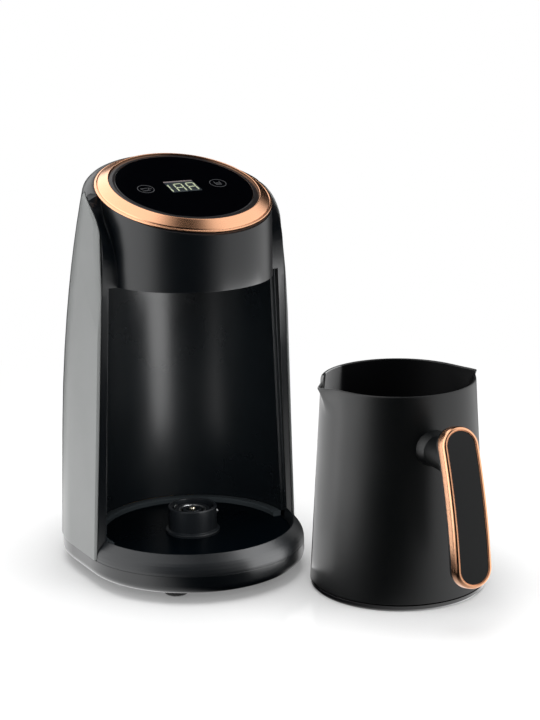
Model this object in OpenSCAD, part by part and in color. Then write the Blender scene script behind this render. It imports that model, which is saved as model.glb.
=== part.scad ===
// Electric Turkish coffee maker: a tapered tower with a round, tilted touch panel,
// an open bay with a coupler boss in a round tray, and a two-spout pot with a bar handle.
// Millimetres. +Z is up, -Y is the front. The origin is on the table, on the coupler's axis.

/* [Tower] */
// Half width of the tower at the seam above the base
base_half = 75; // [70:0.5:80]
// Loss of half width for each mm of height
side_taper = 0.0403; // [0.02:0.0001:0.06]
// Distance from the coupler's axis back to the centre of the round rear
rear_shift = 32; // [24:1:40]
// How fast the rear leans forward above the waist
rear_lean = 0.00108; // [0.0006:0.00001:0.0014]
// Height of the seam between base and tower
seam_z = 18.8; // [16:0.2:22]
// Wall of the tower's shells
shell_t = 2.2; // [1.8:0.1:3]
// Wall of the side panels and the rear cover
panel_t = 1.6; // [1.4:0.1:2]
// Width of the open groove beside the side panel's front edge
groove_w = 0.7; // [0.4:0.1:1.2]
// Bevel on the side panel's front edge
soften = 1.2; // [0.6:0.1:1.3]
// Front edge of the side panel at the seam, from the coupler's axis
edge_y = 7.1; // [6:0.1:9]

/* [Head] */
// Radius of the round front of the head
barrel_r = 55.7; // [52:0.1:57]
// Height of the head's underside, the bay's ceiling
ceiling_z = 198.8; // [190:0.2:205]
// Tilt of the touch panel, front edge low
top_tilt = 17.38; // [10:0.02:22]
// Height of the centre of the trim ring's lip
top_z = 253.35; // [248:0.05:256]
// Distance of that centre behind the coupler's axis
top_y = 2.07; // [0:0.01:3]
// Rounding between the head's top deck and its sides
crown_round = 11; // [8:0.5:13]

/* [Trim ring and glass] */
// Outer radius of the trim ring's lip
ring_r = 57.5; // [56:0.1:58]
// Radius of the ring's inner top edge
ring_in = 49.06; // [48:0.02:50]
// Rise of that edge above the lip
ring_rise = 4.7; // [3.5:0.1:5.5]
// Radius of the touch glass
glass_r = 44.9; // [43:0.1:45.5]
// Thickness of the touch glass
glass_t = 2; // [1.5:0.1:2.2]
// Width of the display window
window_w = 20.6; // [18:0.2:24]
// Height of the display window
window_h = 16; // [12:0.5:18]

/* [Base and tray] */
// Radius of the base's two round ends
base_r = 74.5; // [70:0.5:75]
// Height of the underside of the base
foot_h = 6.4; // [4:0.2:8]
// Rounding of the base's lower edge
base_round = 5.5; // [3:0.5:5.5]
// Radius of the tray's recess at its upper edge
recess_r = 67.8; // [66.5:0.1:68.5]
// Height of the recess edge
recess_z = 31.3; // [29:0.1:32]
// Height of the tray's floor
tray_z = 24.5; // [24:0.1:25]
// Radius of a foot
foot_r = 8; // [6:0.5:9]
// Bore of the cord inlet
cord_bore_r = 3.3; // [3:0.1:3.6]

/* [Bay] */
// Radius of the bay's back wall 45 mm above the table
bay_r = 64.8; // [64:0.1:65]
// Loss of that radius for each mm of height
bay_taper = 0.0387; // [0.03:0.0001:0.04]
// Wall of the bay liner
liner_t = 2; // [1.6:0.1:2]

/* [Coupler] */
// Outer radius of the coupler boss
boss_r = 16.2; // [15:0.1:16.4]
// Height of the boss's top
boss_z = 42.3; // [40:0.1:43]
// Travel of a side contact into the boss
contact_travel = 1.1; // [0.8:0.05:1.2]

/* [Pot] */
// Distance of the pot's axis to the right of the coupler's axis
pot_x = 101.9; // [95:0.1:120]
// Distance of the pot's axis in front of it
pot_y = 95; // [90:0.5:110]
// Turn of the pot on the table
pot_turn = -7; // [-20:1:20]
// Outer radius of the pot at its foot
pot_foot_r = 57.5; // [56:0.1:58.5]
// Outer radius of the pot at its rim
pot_rim_r = 49.6; // [48:0.1:51]
// Height of the rim
pot_h = 137.8; // [136:0.2:140]
// Wall of the pot
pot_t = 1.7; // [1.4:0.1:2]
// Reach of a spout's tip from the pot's axis
spout_reach = 56.6; // [54:0.1:58]
// Radius of the socket under the pot
socket_r = 17; // [16.9:0.1:17.4]
// Depth of the socket
socket_h = 18.6; // [18.2:0.1:18.8]

/* [Handle] */
// Radius of the handle bar's outward bow
grip_r = 303; // [290:1:320]
// Width of the handle bar
grip_w = 24.1; // [22:0.1:26]
// Length of the handle bar
grip_len = 98.6; // [90:0.2:104]
// Depth of the handle's trim frame
trim_depth = 8; // [6:0.5:9]
// Width of the trim frame's band
trim_band = 2.7; // [2:0.1:3.2]
// Height of the handle's stub
stub_z = 104; // [100:0.5:108]
// Radius of the handle's stub
stub_r = 10; // [8.5:0.1:10.5]

/* [Hidden] */
$fn = 96;
gap = 0.15;
eps = 0.02;
edge_lean = 0.0303;
sweep_z = 207;
sweep_k = 17;
sweep_p = 3.35;
lip_z = 203;
lip_k = 12.9;
lip_p = 2.57;
lip_turn_z = 240;
lip_turn_slope = 0.55;
waist_z = 90;
crown_z = 200;
crown_pull = 0.00018;
panel_wrap = 20;
lip_depth = 3;
tip_z = 256.7;
lap = 4;
fit_gap = 0.3;
tower_z = seam_z + 0.1;
deck_n = -1;
shoulder_n = -11;
house_in = panel_t + gap;
cheek_in = panel_t + groove_w;
arc_n = 40;
front_reach = 40;
loft_z = [tower_z, 58, waist_z, 122, 148, 170, 188, 204, 218, 232, 246, 260, 276];
edge_z = [for (i = [0:25]) i < 4 ? tower_z + i * 45 : 193.6 + (i - 4) * 3];
deck_z0 = 18.7;
deck_z1 = 22.2;
deck_r = base_r - 4.5;
rim_in = base_r - 6.5;
tub_t = 2.4;
tub_floor = 2.5;
tub_top = 18.6;
ring_end_y = 8.3;
ledge_r = 59.5;
ledge_z = 28.3;
liner_z0 = ledge_z + 0.2;
liner_front = 4.5;
liner_lip = 8;
ceiling_t = 2;
tray_r = 65.3;
tray_z0 = deck_z1 + 0.1;
feet_xy = [[33, -41], [-33, -41], [33, 73], [-33, 73]];
post_xy = [[52, 4], [-52, 4], [50, 58], [-50, 58]];
cord_z = 12.9;
cord_y = rear_shift + base_r;
boss_in = 14.2;
boss_well_z = 33.2;
contact_z = 38;
contact_angles = [-26, 118];
contact_r = 1.5;
contact_back = 1.2;
core_r = boss_in - contact_back - contact_travel - 0.4;
contact_tip = boss_r + 1;
window_x = -1.2;
touch_x = 25.5;
bezel_ledge = 42.5;
glass_n = 3.9;
pcb_n = -2.9;
pcb_t = 1.6;
ring_bore = 48.9;
post_ring = 44.6;
pot_taper = (pot_foot_r - pot_rim_r) / pot_h;
skirt_z = 4.4;
pot_floor_z = 24;
pot_floor_t = 2;
plate_z = 20.2;
plate_t = 1.7;
stud_r = 44;
grip_mid_r = 100;
grip_mid_z = 79.2;
grip_lean = 14.69;
grip_axis_y = grip_r * cos(grip_lean) - grip_mid_r;
grip_axis_z = grip_mid_z + 1 - grip_r * sin(grip_lean);
grip_span = 10.2;
inlay_drop = 0.7;
plate_drop = 3.2;
grip_root = pot_foot_r - pot_taper * stub_z;
insert_end = grip_root + 10.2;
screw_seat = 84.4;

// ---------- outlines of the tower ----------

function half_w(z) = base_half - side_taper * (z - seam_z) - crown_pull * pow(max(0, z - crown_z), 2);

function rear_c(z) = rear_shift - rear_lean * pow(max(0, z - waist_z), 2);

// front edge of a side panel
function edge(z) = -edge_y - edge_lean * (z - seam_z) + pow(max(0, z - sweep_z) / sweep_k, sweep_p);

// rear edge of a side panel
function wrap(z) = rear_c(z) + panel_wrap;

// line where the head's round front meets the cheek
function lip_low(z) = -11.4 + pow(max(0, z - lip_z) / lip_k, lip_p);

function lip(z) = z < lip_turn_z ? lip_low(z) : lip_low(lip_turn_z) + lip_turn_slope * (z - lip_turn_z);

function bay(z) = bay_r - bay_taper * (z - 45);

function pot_out(z) = pot_foot_r - pot_taper * z;

function tower_ring(z, inset) =
    let (w = half_w(z) - inset, c = rear_c(z))
    concat([for (i = [0:arc_n]) [w * cos(180 * i / arc_n), c + w * sin(180 * i / arc_n), z]],
           [[-w, -front_reach, z], [w, -front_reach, z]]);

// ---------- helpers ----------

// closed solid through rings of points, each ring with the same count
module skin(rings) {
    n = len(rings[0]);
    m = len(rings);
    points = [for (r = rings) for (p = r) p];
    sides = [for (k = [0:m - 2]) for (i = [0:n - 1])
        [k * n + i, (k + 1) * n + i, (k + 1) * n + (i + 1) % n, k * n + (i + 1) % n]];
    low = [for (i = [0:n - 1]) i];
    high = [for (i = [n - 1:-1:0]) (m - 1) * n + i];
    polyhedron(points = points, faces = concat([low], sides, [high]), convexity = 6);
}

// the tower's full outline, moved in by inset
module loft(inset) {
    for (k = [0:len(loft_z) - 2])
        hull() skin([tower_ring(loft_z[k], inset), tower_ring(loft_z[k + 1], inset)]);
}

// the frame of the tilted top: its origin is the centre of the trim ring's lip
module on_top() {
    translate([0, top_y, top_z]) rotate([top_tilt, 0, 0]) children();
}

// an outline in Y and Z, drawn out along X
module along_x(x0, x1) {
    translate([x0, 0, 0]) rotate([90, 0, 90]) linear_extrude(x1 - x0) children();
}

// the space under the rounded top deck, moved in by inset
module crown(inset) {
    on_top() translate([0, 0, deck_n - inset]) {
        hull() {
            for (d = [0, 0.6, 2, 4, 6.8, crown_round])
                translate([0, 0, -d])
                    cylinder(r = 57.8 - inset + 8.4 * sqrt(1 - pow(1 - d / crown_round, 2)), h = eps);
            translate([-85, -130, -330]) cube([170, 190, eps]);
        }
    }
}

// everything below a plane parallel to the top deck
module below_top(n) {
    on_top() translate([-150, -200, n - 400]) cube([300, 400, 400]);
}

// a side panel's outline, seen from the side, moved out by grow
module leaf(grow) {
    zs = [for (z = edge_z) if (edge(z) < wrap(z) - 1) z];
    polygon(concat([[edge(zs[0]) - grow, zs[0] - grow]],
                   [for (z = zs) if (z > zs[0]) [edge(z) - grow, z]],
                   [[wrap(tip_z), tip_z + grow]],
                   [for (i = [len(zs) - 1:-1:1]) [wrap(zs[i]) + grow, zs[i]]],
                   [[wrap(zs[0]) + grow, zs[0] - grow]]));
}

// the strip just behind a side panel's front edge
module leaf_strip(grow) {
    zs = [for (z = edge_z) if (edge(z) < wrap(z) - 4) z];
    polygon(concat([[edge(zs[0]) - grow, zs[0] - grow]],
                   [for (z = zs) if (z > zs[0]) [edge(z) - grow, z]],
                   [for (i = [len(zs) - 1:-1:1]) [edge(zs[i]) + lip_depth + grow, zs[i]]],
                   [[edge(zs[0]) + lip_depth + grow, zs[0] - grow]]));
}

// what is cut away in front of the cheeks
module cheek_cut(back) {
    zs = concat([tower_z - 2], [for (z = edge_z) z + 0.9 + back * 0.2], [280]);
    for (s = [0, 1]) mirror([s, 0, 0])
        skin([for (z = zs) [[-1, -95, z], [90, -95, z], [90, edge(min(z, 256)) + 0.6 + back, z],
              [half_w(z) - cheek_in, edge(min(z, 256)) + 0.6 + back, z],
              [barrel_r + 0.8, lip(z) + back, z], [-1, lip(z) + back, z]]]);
}

// the bay's outline, moved out by grow, open to the front
module bay_space(grow, z0, z1) {
    hull() for (z = [z0, z1 - eps]) translate([0, 0, z]) linear_extrude(eps) {
        circle(r = bay(z) + grow);
        translate([-bay(z) - grow, -60]) square([2 * (bay(z) + grow), 60]);
    }
}

// a body with two round ends and straight sides, from an outline in radius and height
module round_ends() {
    rotate([0, 0, 180]) rotate_extrude(angle = 180) children();
    translate([0, rear_shift, 0]) rotate_extrude(angle = 180) children();
    for (s = [0, 1]) mirror([s, 0, 0])
        translate([0, rear_shift, 0]) rotate([90, 0, 0]) linear_extrude(rear_shift) children();
}

// ---------- base ----------

// solid profile of the base shell, with a rounded lower edge
module base_outline() {
    difference() {
        translate([0, foot_h]) square([base_r, tub_top - foot_h]);
        translate([base_r - base_round, foot_h]) difference() {
            translate([0, -1]) square([base_round + 1, base_round + 1]);
            translate([0, base_round]) circle(r = base_round, $fn = 64);
        }
    }
}

module base_bottom() {
    color("#26282a") difference() {
        union() {
            round_ends() base_outline();
            translate([-7, cord_y - 4, foot_h + 1.2]) cube([14, 4.2, tub_top - foot_h - 1.2]);
        }
        round_ends() translate([0, foot_h + tub_floor]) square([base_r - tub_t, 6.1]);
        round_ends() translate([0, foot_h + tub_floor + 6]) square([rim_in, 9]);
        for (p = feet_xy) translate([p[0], p[1], 0]) cylinder(r = 3.15, h = 20);
        for (p = post_xy) translate([p[0], p[1], 0]) {
            cylinder(r = 1.6, h = 20);
            cylinder(r = 3.5, h = foot_h + 1.2);
        }
        for (x = [-20, 20], i = [0:5]) translate([x - 9, 14 + i * 7, 0]) cube([18, 2.4, 12]);
        translate([0, cord_y + 5, cord_z]) rotate([90, 0, 0]) cylinder(r = 4.5, h = 12);
        translate([0, cord_y - 4.3, cord_z]) rotate([90, 0, 0]) cylinder(r = 5.3, h = 4);
    }
}

module base_feet() {
    color("#1a1b1c") for (p = feet_xy) translate([p[0], p[1], 0]) {
        cylinder(r1 = foot_r - 0.8, r2 = foot_r, h = 0.8);
        translate([0, 0, 0.8]) cylinder(r = foot_r, h = foot_h - 0.85);
        cylinder(r = 3, h = foot_h + 4);
    }
}

module base_screws() {
    color("#8d9093") for (p = post_xy) translate([p[0], p[1], 0]) difference() {
        union() {
            translate([0, 0, foot_h - 0.3]) cylinder(r = 3.1, h = 1.4);
            cylinder(r = 1.25, h = 16.5);
        }
        cylinder(r = 4, h = foot_h - 0.3);
        translate([-2, -0.3, foot_h - 1]) cube([4, 0.6, 1.4]);
        translate([-0.3, -2, foot_h - 1]) cube([0.6, 4, 1.4]);
    }
}

module base_ring() {
    color("#3a3d40") difference() {
        union() {
            round_ends() translate([0, deck_z0]) square([deck_r, deck_z1 - deck_z0]);
            difference() {
                rotate([0, 0, 180]) rotate_extrude(angle = 180, $fn = 160) polygon([
                    [60, deck_z0], [base_r - 0.1, deck_z0], [base_r - 0.1, 20.4], [base_r - 0.5, 22.6],
                    [base_r - 1.4, 24.8], [base_r - 2.5, 26.5],
                    [recess_r, recess_z], [recess_r - 0.6, recess_z],
                    [tray_r + 0.3, tray_z + 0.2], [tray_r + 0.3, deck_z1], [60, deck_z1]]);
                translate([-80, -ring_end_y, 10]) cube([160, 20, 30]);
            }
            for (p = post_xy) translate([p[0], p[1], foot_h + tub_floor + 0.1])
                cylinder(r = 3.8, h = deck_z0 - foot_h - tub_floor);
        }
        for (p = post_xy) translate([p[0], p[1], 0]) cylinder(r = 1.3, h = 17.5);
        translate([0, 0, 10]) cylinder(r = 12, h = 20);
        translate([0, 84, 10]) cylinder(r = 6, h = 20);
    }
}

module tray() {
    color("#15171a") difference() {
        union() {
            translate([0, 0, tray_z0]) cylinder(r = tray_r, h = tray_z - tray_z0, $fn = 160);
            rotate([0, 0, -4]) rotate_extrude(angle = 188, $fn = 160) polygon([
                [ledge_r, tray_z - 0.5], [tray_r - 0.1, tray_z - 0.5], [tray_r - 0.1, ledge_z],
                [ledge_r + 0.8, ledge_z], [ledge_r, ledge_z - 0.8]]);
        }
        translate([0, 0, 10]) cylinder(r = 12, h = 30);
    }
}

// ---------- coupler ----------

module coupler_boss() {
    color("#2c2e31") difference() {
        rotate_extrude() polygon([
            [12.5, tray_z + 0.05], [boss_r + 2, tray_z + 0.05], [boss_r + 2, tray_z + 1.6],
            [boss_r + 1.5, tray_z + 2], [boss_r, tray_z + 2.6],
            [boss_r, boss_z - 0.6], [boss_r - 0.6, boss_z], [boss_in + 0.4, boss_z],
            [boss_in, boss_z - 0.4], [boss_in, boss_well_z], [12.5, boss_well_z]]);
        for (a = contact_angles) rotate([0, 0, a]) {
            translate([boss_in - 2, 0, contact_z]) rotate([0, 90, 0]) cylinder(r = contact_r + 0.12, h = 6);
            translate([boss_in + 0.9, -0.5, 29]) cube([3, 1, 7]);
        }
    }
}

module coupler_core() {
    color("#1c1d1f") difference() {
        rotate_extrude() polygon([
            [2.4, tray_z + 0.5], [12.3, tray_z + 0.5], [12.3, boss_well_z + 0.1], [14, boss_well_z + 0.1],
            [14, 34.6], [core_r, 34.6], [core_r, 39.6], [core_r - 0.4, 40],
            [9.9, 40], [9.6, 39.7], [9.6, 34.2],
            [6.6, 34.2], [6.6, 39.7], [6.3, 40], [4.9, 40], [4.6, 39.7], [4.6, 34.2], [2.4, 34.2]]);
    }
}

module contact_ring() {
    color("#b5b0a6") rotate_extrude() polygon([
        [8, 34.3], [9.3, 34.3], [9.3, 39.4], [9.05, 39.7], [8.25, 39.7], [8, 39.4]]);
}

module centre_pin() {
    color("#c2b38a") rotate_extrude() polygon([
        [0, tray_z + 0.5], [2.3, tray_z + 0.5], [2.3, 34], [2.1, 34.2], [2.1, 40.2],
        [1.6, 40.9], [0.8, 41.2], [0, 41.2]]);
}

module side_contact(a) {
    color("#a9a59b") rotate([0, 0, a]) translate([0, 0, contact_z]) rotate([0, 90, 0]) {
        translate([0, 0, boss_in - contact_back]) cylinder(r = 2.3, h = 0.8);
        translate([0, 0, boss_in - contact_back])
            cylinder(r = contact_r, h = contact_tip - boss_in + contact_back - 0.6);
        translate([0, 0, contact_tip - 0.6]) cylinder(r1 = contact_r, r2 = 0.7, h = 0.6);
    }
}

module side_contact_right() { side_contact(contact_angles[0]); }

module side_contact_left() { side_contact(contact_angles[1]); }

// ---------- tower shells ----------

module front_housing() {
    color("#2b2d30") difference() {
        union() {
            difference() {
                union() {
                    // sides behind the panels
                    intersection() {
                        loft(house_in);
                        along_x(-90, 90) polygon(concat(
                            [[-front_reach + 1, tower_z], [-front_reach + 1, 272], [wrap(264) + lap, 272]],
                            [for (i = [len(edge_z) - 1:-1:0]) [wrap(edge_z[i]) + lap, edge_z[i]]]));
                        below_top(shoulder_n + 1);
                    }
                    // shoulder around the top deck
                    difference() {
                        intersection() {
                            loft(0);
                            crown(0);
                        }
                        below_top(shoulder_n);
                    }
                }
                cheek_cut(0);
                // pockets of the side panels
                difference() {
                    along_x(-90, 90) leaf(fit_gap);
                    loft(house_in);
                }
                difference() {
                    along_x(-90, 90) leaf_strip(fit_gap);
                    loft(cheek_in);
                }
            }
            intersection() {
                translate([0, 0, ceiling_z]) cylinder(r = barrel_r, h = 90, $fn = 144);
                below_top(deck_n);
            }
        }
        // inside of the head
        difference() {
            intersection() {
                loft(house_in + shell_t);
                crown(shell_t);
                translate([-90, -60, ceiling_z + 0.3]) cube([180, 200, 90]);
            }
            cheek_cut(2.6);
        }
        intersection() {
            translate([0, 0, ceiling_z - 1]) cylinder(r = barrel_r - shell_t, h = 90, $fn = 144);
            below_top(deck_n - shell_t);
        }
        // inside of the lower tower
        intersection() {
            loft(house_in + shell_t);
            translate([-90, -4.7, tower_z - 1]) cube([180, 200, ceiling_z - tower_z + 1.6]);
        }
        bay_space(liner_t + 0.1, tower_z - 1, ceiling_z);
        translate([0, 0, -1]) round_ends() square([deck_r + 0.3, deck_z1 + 1.4]);
        on_top() translate([0, 0, -12]) cylinder(r = 47.2, h = 20);
    }
}

module side_panel() {
    difference() {
        intersection() {
            loft(0);
            crown(0);
            difference() {
                along_x(-90, -10) leaf(0);
                loft(panel_t);
            }
        }
        // softened front edge
        mirror([1, 0, 0]) skin([for (z = [for (k = edge_z) k - 1.3]) if (z < 260)
            [[half_w(z) - soften - 1, edge(z) - 1, z], [half_w(z) - soften - 1, edge(z) - 9, z],
             [half_w(z) + 3, edge(z) - 9, z], [half_w(z) + 3, edge(z) + soften + 3, z]]]);
    }
}

module side_panel_left() { color("#9ea2a3") side_panel(); }

module side_panel_right() { color("#9ea2a3") mirror([1, 0, 0]) side_panel(); }

module rear_cover() {
    color("#232527") difference() {
        intersection() {
            loft(0);
            along_x(-90, 90) polygon(concat(
                [for (z = edge_z) [wrap(z) + fit_gap, z]],
                [[wrap(264) + fit_gap, 270], [140, 270], [140, tower_z]]));
            below_top(shoulder_n - fit_gap);
        }
        loft(panel_t);
    }
}

// ---------- bay ----------

module bay_liner() {
    top_r = bay(ceiling_z + ceiling_t);
    color("#17191c") {
        rotate_extrude(angle = 180, $fn = 160) liner_outline(0);
        for (s = [0, 1]) mirror([s, 0, 0]) {
            rotate([90, 0, 0]) linear_extrude(liner_front) liner_outline(0);
            rotate([90, 0, 0]) linear_extrude(liner_lip) liner_outline(1.1);
        }
        translate([0, 0, ceiling_z]) difference() {
            union() {
                rotate_extrude(angle = 180, $fn = 160) square([top_r + 1, ceiling_t]);
                translate([-top_r - 1, -liner_front, 0]) cube([2 * top_r + 2, liner_front, ceiling_t]);
                cylinder(r = barrel_r - shell_t - 0.3, h = ceiling_t, $fn = 144);
            }
            translate([0, -22, -1]) cylinder(r = 5.2, h = 9);
        }
    }
}

module liner_outline(step) {
    polygon([[bay(liner_z0) + step, liner_z0], [bay(liner_z0) + liner_t, liner_z0],
             [bay(ceiling_z + ceiling_t) + liner_t, ceiling_z + ceiling_t],
             [bay(ceiling_z + ceiling_t) + step, ceiling_z + ceiling_t]]);
}

// window that looks down into the pot for foam
module boil_sensor() {
    color("#0d0e10") translate([0, -22, ceiling_z - 0.8]) rotate_extrude() polygon([
        [0, 0], [6, 0], [6.6, 0.7], [5, 0.7], [5, 3], [7, 3], [7, 5.6], [0, 5.6]]);
}

// ---------- top ----------

module trim_ring() {
    color("#c8864f") on_top() rotate_extrude($fn = 180) polygon([
        [ring_bore, deck_n + 0.05], [ring_r - 0.3, deck_n + 0.05], [ring_r, deck_n + 0.35], [ring_r, -0.25],
        [ring_r - 0.35, 0.05], [56.2, 0.35], [55.67, 0.1], [55.3, 0.85], [ring_in + 0.5, ring_rise - 0.15],
        [ring_in + 0.15, ring_rise], [ring_bore, ring_rise - 0.15]]);
}

module inner_bezel() {
    color("#2e3033") on_top() {
        rotate_extrude($fn = 160) polygon([
            [bezel_ledge, deck_n], [ring_bore - gap, deck_n], [ring_bore - gap, 3.5], [46.3, glass_n],
            [glass_r + gap, glass_n - 0.05], [glass_r + gap, glass_n - glass_t - 0.1],
            [bezel_ledge, glass_n - glass_t - 0.1]]);
        for (a = [45, 135, 225, 315]) rotate([0, 0, a]) translate([post_ring, 0, pcb_n + 0.05]) difference() {
            cylinder(r = 2, h = deck_n - pcb_n + 0.4);
            translate([0, 0, -1]) cylinder(r = 0.8, h = 2.6);
        }
    }
}

module glass_panel() {
    color("#08090b") on_top() rotate_extrude($fn = 160) polygon([
        [0, glass_n - glass_t], [glass_r, glass_n - glass_t], [glass_r, glass_n - 0.25],
        [glass_r - 0.25, glass_n], [0, glass_n]]);
}

module display_module() {
    color("#3b4146") on_top() translate([window_x - window_w / 2 - 1, -window_h / 2 - 1, pcb_n + 0.05])
        cube([window_w + 2, window_h + 2, glass_n - glass_t - pcb_n - 0.2]);
}

module control_board() {
    color("#1f5a3c") on_top() translate([0, 0, pcb_n - pcb_t]) difference() {
        cylinder(r = 46.6, h = pcb_t);
        for (a = [45, 135, 225, 315]) rotate([0, 0, a])
            translate([post_ring, 0, -1]) cylinder(r = 0.9, h = 4);
        for (x = [-3, 3]) translate([x, -30, -1]) cylinder(r = 1.2, h = 4);
    }
}

module touch_springs() {
    color("#b9bcbe") on_top() for (x = [-touch_x, touch_x])
        translate([window_x + x, 0, pcb_n + 0.05]) difference() {
            cylinder(r = 4.5, h = glass_n - glass_t - pcb_n - 0.2);
            translate([0, 0, -1]) cylinder(r = 3.7, h = 9);
        }
}

module control_screws() {
    color("#8d9093") on_top() for (a = [45, 135, 225, 315]) rotate([0, 0, a])
        translate([post_ring, 0, pcb_n - pcb_t - 1.1]) {
            cylinder(r = 1.6, h = 1.05);
            cylinder(r = 0.75, h = 3.6);
        }
}

// ---------- inside of the rear ----------

module board_brackets() {
    color("#2f3234") for (x = [-30, 20]) translate([x, 0, deck_z1 + 0.05]) {
        translate([0, 68, 0]) cube([10, 1.9, 44]);
        translate([0, 64, 0]) cube([10, 5, 1.8]);
    }
}

module power_board() {
    color("#8b6a2f") translate([-36, 70, deck_z1 + 0.05]) cube([72, 1.6, 84]);
}

module power_parts() {
    y0 = 71.65;
    color("#44484b") translate([0, y0, deck_z1]) {
        translate([-28, 0, 8]) cube([24, 15, 22]);
        translate([4, 0, 10]) cube([20, 12, 16]);
        translate([-24, 0, 44]) cube([14, 11, 9]);
        for (x = [4, 16]) translate([x, 0, 52]) rotate([-90, 0, 0]) cylinder(r = 4.5, h = 14);
        translate([-20, 0, 68]) rotate([-90, 0, 0]) cylinder(r = 6, h = 6);
    }
}

module cord_inlet() {
    color("#1a1b1c") translate([0, cord_y, cord_z]) rotate([-90, 0, 0]) difference() {
        union() {
            translate([0, 0, 0.25]) cylinder(r = 5.1, h = 2.4);
            translate([0, 0, -5.8]) cylinder(r = 4.35, h = 7);
            translate([0, 0, -7]) cylinder(r = 5.1, h = 2.5);
        }
        translate([0, 0, -10]) cylinder(r = cord_bore_r, h = 20);
    }
}

// ---------- pot ----------

module at_pot() {
    translate([pot_x, -pot_y, 0]) rotate([0, 0, pot_turn]) children();
}

module spout(drop, reach, half, low) {
    hull() {
        translate([reach, 0, pot_h - 1 + drop]) sphere(r = 0.7, $fn = 10);
        for (y = [-half, half])
            translate([pot_rim_r - 1.2 - drop * 0.35, y, pot_h - 0.9 + drop]) sphere(r = 0.7, $fn = 10);
        translate([pot_rim_r - 0.5 - drop * 0.4, 0, low]) sphere(r = 0.9, $fn = 10);
    }
}

module pot_body() {
    color("#222426") at_pot() difference() {
        union() {
            rotate_extrude($fn = 160) polygon([
                [0, pot_floor_z - pot_floor_t], [pot_out(22) - pot_t, pot_floor_z - pot_floor_t],
                [pot_out(skirt_z) - pot_t, skirt_z], [pot_out(skirt_z), skirt_z], [pot_rim_r, pot_h - 0.4],
                [pot_rim_r - 0.5, pot_h], [pot_rim_r - pot_t + 0.4, pot_h], [pot_rim_r - pot_t, pot_h - 0.4],
                [pot_out(pot_floor_z) - pot_t - 1.5, pot_floor_z + 1.5],
                [pot_out(pot_floor_z) - pot_t - 3, pot_floor_z], [0, pot_floor_z]]);
            for (s = [0, 1]) mirror([s, 0, 0]) spout(0, spout_reach, 9, 121);
        }
        for (s = [0, 1]) mirror([s, 0, 0]) spout(2.6, spout_reach - 1, 7.4, 126);
    }
}

module pot_base() {
    color("#2a2c2f") at_pot() difference() {
        union() {
            rotate_extrude($fn = 160) polygon([
                [22.4, 1.4], [52.6, 1.4], [53, 0], [55.6, 0], [57, 1.4], [57.3, 3.8], [55.3, 4],
                [55.1, 6.5], [53.6, 6.5], [53.6, 3.4], [22.4, 3.4]]);
        }
        for (a = [90, 210, 330]) rotate([0, 0, a]) translate([stud_r, 0, -1]) cylinder(r = 1.7, h = 9);
    }
}

module heater_plate() {
    color("#b4b7b8") at_pot() {
        translate([0, 0, plate_z]) cylinder(r = 51, h = plate_t);
        for (a = [90, 210, 330]) rotate([0, 0, a]) translate([stud_r, 0, 3.5]) difference() {
            cylinder(r = 3.2, h = plate_z - 3.4);
            translate([0, 0, -1]) cylinder(r = 1.5, h = 14);
        }
    }
}

module heater_element() {
    color("#6f7274") at_pot() {
        rotate_extrude(angle = 320) translate([36, plate_z - 3.5]) circle(r = 3.4, $fn = 48);
        for (a = [0, 320]) rotate([0, 0, a]) translate([36, 0, 9]) cylinder(r = 1.6, h = 8);
    }
}

module pot_connector() {
    color("#1c1d1f") at_pot() rotate_extrude() polygon([
        [socket_r, 1.5], [22.2, 1.5], [22.2, 3.5], [25, 3.5], [25, 5], [21.5, 5], [21.5, 20], [0, 20],
        [0, socket_h], [12.2, socket_h], [12.2, 10.8], [12.5, 10.5], [13.6, 10.5], [13.9, 10.8],
        [13.9, socket_h], [socket_r, socket_h]]);
}

module pot_contacts() {
    color("#c2b38a") at_pot() {
        rotate_extrude() translate([7, 12]) square([0.8, socket_h - 12.05]);
        rotate_extrude() translate([2.4, 11]) square([1.6, socket_h - 11.05]);
    }
}

module pot_thermostat() {
    color("#d8d9d6") at_pot() translate([27.5, 0, 0]) {
        translate([0, 0, 13]) cylinder(r = 2.9, h = plate_z - 13.05);
        translate([-0.8, -2, 10]) cube([0.6, 1, 4]);
        translate([-0.8, 1, 10]) cube([0.6, 1, 4]);
    }
}

module pot_screws() {
    color("#8d9093") at_pot() for (a = [90, 210, 330])
        rotate([0, 0, a]) translate([stud_r, 0, 0]) difference() {
        union() {
            translate([0, 0, 0.2]) cylinder(r = 3.1, h = 1.15);
            translate([0, 0, 0.2]) cylinder(r = 1.4, h = 12);
        }
        translate([-2, -0.3, -0.5]) cube([4, 0.6, 1.2]);
        translate([-0.3, -2, -0.5]) cube([0.6, 4, 1.2]);
    }
}

// ---------- handle ----------

// part of the bowed bar between two radii
module bow(r0, r1, half) {
    translate([0, grip_axis_y, grip_axis_z]) rotate([90, 0, 90]) rotate([0, 0, 180 - grip_lean - grip_span])
        rotate_extrude(angle = 2 * grip_span, $fn = 720) translate([r0, -half]) square([r1 - r0, 2 * half]);
}

// the bar's outline with round ends, drawn outwards through it
module bar(half, length) {
    translate([0, grip_axis_y, grip_axis_z]) rotate([-grip_lean, 0, 0]) rotate([90, 0, 0])
        translate([0, 0, grip_r - 30]) {
            for (y = [-1, 1]) translate([0, y * (length / 2 - half), 0]) cylinder(r = half, h = 50);
            translate([-half, -length / 2 + half, 0]) cube([2 * half, length - 2 * half, 50]);
        }
}

module handle_trim() {
    color("#c8864f") at_pot() difference() {
        intersection() {
            bow(grip_r - trim_depth, grip_r, 20);
            bar(grip_w / 2, grip_len);
        }
        bar(grip_w / 2 - trim_band, grip_len - 2 * trim_band);
    }
}

module handle_inlay() {
    color("#0a0b0d") at_pot() intersection() {
        bow(grip_r - plate_drop + 0.1, grip_r - inlay_drop, 20);
        bar(grip_w / 2 - trim_band - 0.1, grip_len - 2 * trim_band - 0.2);
    }
}

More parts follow.
